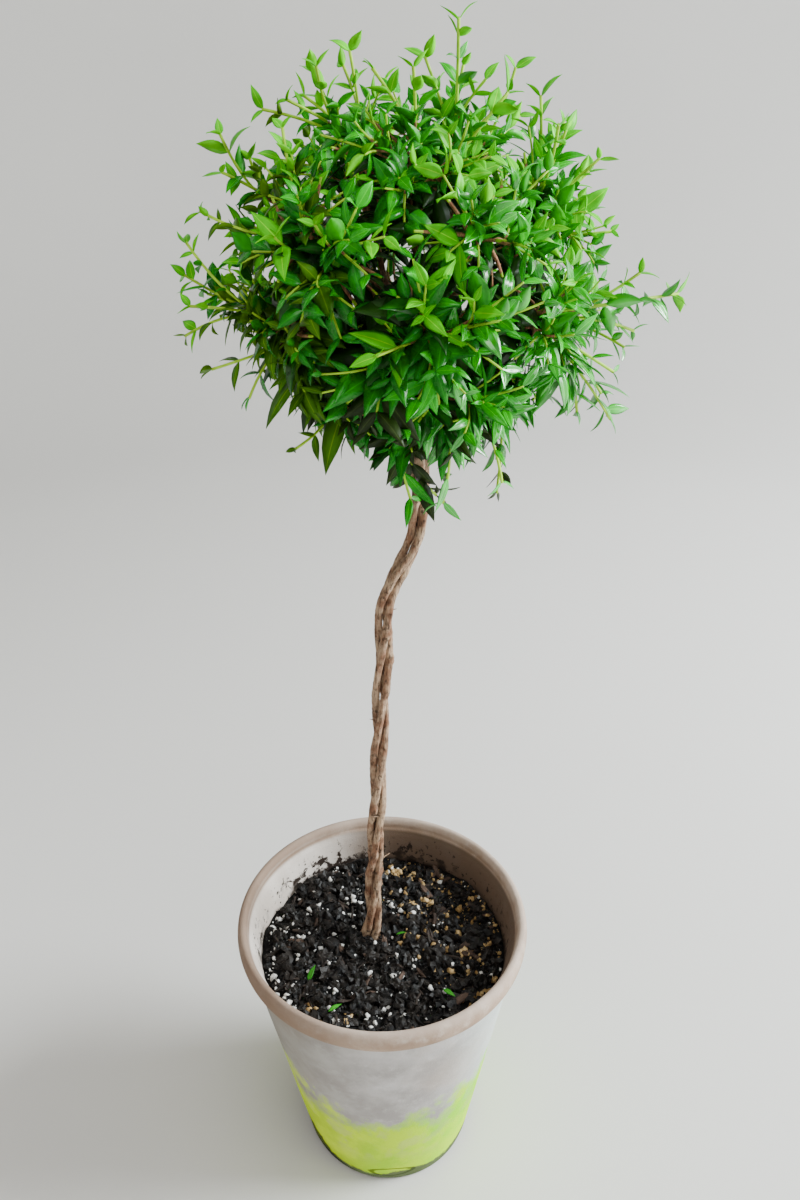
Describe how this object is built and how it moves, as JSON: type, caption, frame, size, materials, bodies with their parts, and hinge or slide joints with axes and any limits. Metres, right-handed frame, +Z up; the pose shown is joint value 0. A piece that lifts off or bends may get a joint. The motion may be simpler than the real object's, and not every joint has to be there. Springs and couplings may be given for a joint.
{
  "type": "potted myrtle standard topiary",
  "caption": "Lollipop standard in a pot: twisted bare stems rise from a tapered clay pot with a rounded collar and carry a loose round head of small pointed leaves.",
  "frame": {"origin": "centre of the pot's flat underside", "axes": "+Z up along the plant, +X to the right and +Y away from the side that the picture was taken from"},
  "size_m": [0.2051, 0.1788, 0.5815],
  "materials": {
    "clay": "matte",
    "soil": "matte",
    "bark": "matte",
    "leaf": "satin"
  },
  "bodies": {
    "root": {"pot": "clay", "soil": "soil", "stem_1": "bark", "stem_2": "bark", "stem_3": "bark", "bough_01": "bark", "bough_02": "bark", "bough_03": "bark", "bough_04": "bark", "bough_05": "bark", "bough_06": "bark", "bough_07": "bark", "bough_08": "bark", "bough_09": "bark", "bough_10": "bark", "bough_11": "bark", "bough_12": "bark", "bough_13": "bark", "bough_14": "bark", "bough_15": "bark", "foliage_01": "leaf", "foliage_02": "leaf", "foliage_03": "leaf", "foliage_04": "leaf", "foliage_05": "leaf", "foliage_06": "leaf", "foliage_07": "leaf", "foliage_08": "leaf", "foliage_09": "leaf", "foliage_10": "leaf", "foliage_11": "leaf", "foliage_12": "leaf", "foliage_13": "leaf", "foliage_14": "leaf", "foliage_15": "leaf", "foliage_16": "leaf", "foliage_17": "leaf", "foliage_18": "leaf"}
  },
  "joints": []
}
